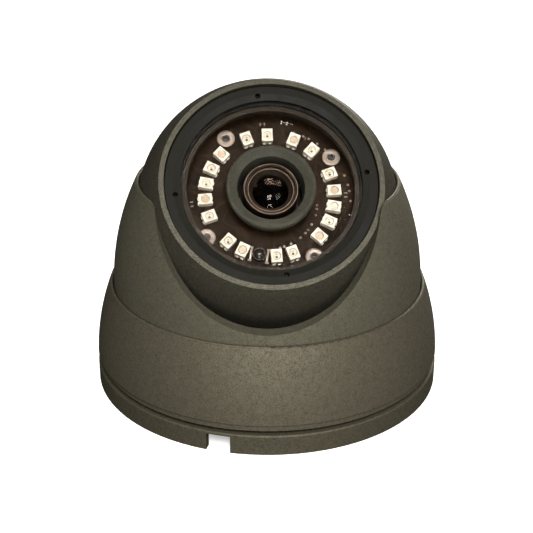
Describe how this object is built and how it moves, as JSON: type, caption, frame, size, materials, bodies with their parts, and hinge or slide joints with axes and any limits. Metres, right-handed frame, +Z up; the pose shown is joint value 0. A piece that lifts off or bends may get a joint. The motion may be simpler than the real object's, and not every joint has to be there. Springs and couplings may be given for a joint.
{
  "type": "dome camera",
  "caption": "Turret-type dome camera: an eyeball with a ring of LEDs round its lens, tilting in a shell that pans on a round base.",
  "frame": {"origin": "centre of the base's underside", "axes": "+Z up from the mounting surface, the lens looks to the -Y side as stored"},
  "size_m": [0.094, 0.094, 0.0816],
  "materials": {
    "base_paint": "fine textured warm grey paint on cast aluminium",
    "trim_paint": "fine textured warm grey paint on cast aluminium",
    "shell_paint": "fine textured warm grey paint on cast aluminium",
    "ball_paint": "fine textured warm grey paint on cast aluminium",
    "white_nylon": "natural nylon",
    "black_nylon": "black moulded nylon",
    "black_rubber": "matt black rubber",
    "screw_steel": "zinc-plated steel",
    "black_anodised": "matt black anodised",
    "window_glass": "clear coated glass",
    "baffle_foam": "soft matt foam rubber",
    "led_board_mask": "dark brown solder mask",
    "led_ceramic": "cream ceramic package",
    "photocell_resin": "dark filter resin",
    "black_screw": "black oxide",
    "lens_black": "black anodised",
    "lens_glass": "coated optical glass",
    "holder_plastic": "black moulded plastic",
    "filter_glass": "blue-green filter glass",
    "sensor_chip": "silicon under a cover glass",
    "board_green": "green solder mask",
    "standoff_brass": "turned brass",
    "connector_plastic": "cream moulded plastic"
  },
  "bodies": {
    "base": {"base_plate": "base_paint"},
    "lock_ring": {"trim_ring": "trim_paint"},
    "housing": {"shell": "shell_paint", "glide_ring": "white_nylon"},
    "seat": {"ball_seat": "black_nylon", "friction_ring": "black_rubber"},
    "eyeball": {"ball_front": "ball_paint", "ball_rear": "ball_paint", "ball_seal": "black_rubber", "joint_screws": "screw_steel", "retaining_ring": "black_anodised", "window_glass": "window_glass", "window_gasket": "black_rubber", "lens_foam": "baffle_foam", "led_board": "led_board_mask", "led_packages": "led_ceramic", "photocell": "photocell_resin", "pad_screws": "black_screw", "clamp_screws": "screw_steel", "lens_barrel": "lens_black", "lens_front_ring": "lens_black", "lens_front_element": "lens_glass", "lens_rear_element": "lens_glass", "lens_lock_ring": "lens_black", "lens_holder": "holder_plastic", "ir_filter": "filter_glass", "image_sensor": "sensor_chip", "sensor_board": "board_green", "main_board": "board_green", "long_standoffs": "standoff_brass", "short_standoffs": "standoff_brass", "stack_screws": "screw_steel", "board_connectors": "connector_plastic", "cable_grommet": "black_rubber"}
  },
  "joints": [
    {"name": "ring_twist", "type": "hinge", "parent": "base", "child": "lock_ring", "pos_m": [0, 0, 0], "axis": [0, 0, 1], "range_deg": [0, 30]},
    {"name": "pan", "type": "hinge", "parent": "base", "child": "housing", "pos_m": [0, 0, 0], "axis": [0, 0, 1], "range_deg": [-177, 177]},
    {"name": "swing", "type": "hinge", "parent": "housing", "child": "seat", "pos_m": [0, 0, 0], "axis": [0, 0, 1], "range_deg": [-19.4, 10.6]},
    {"name": "tilt", "type": "hinge", "parent": "seat", "child": "eyeball", "pos_m": [0, 0, 0.0469], "axis": [0.997, 0.0769, 0], "range_deg": [-47.26, 27.7]}
  ]
}
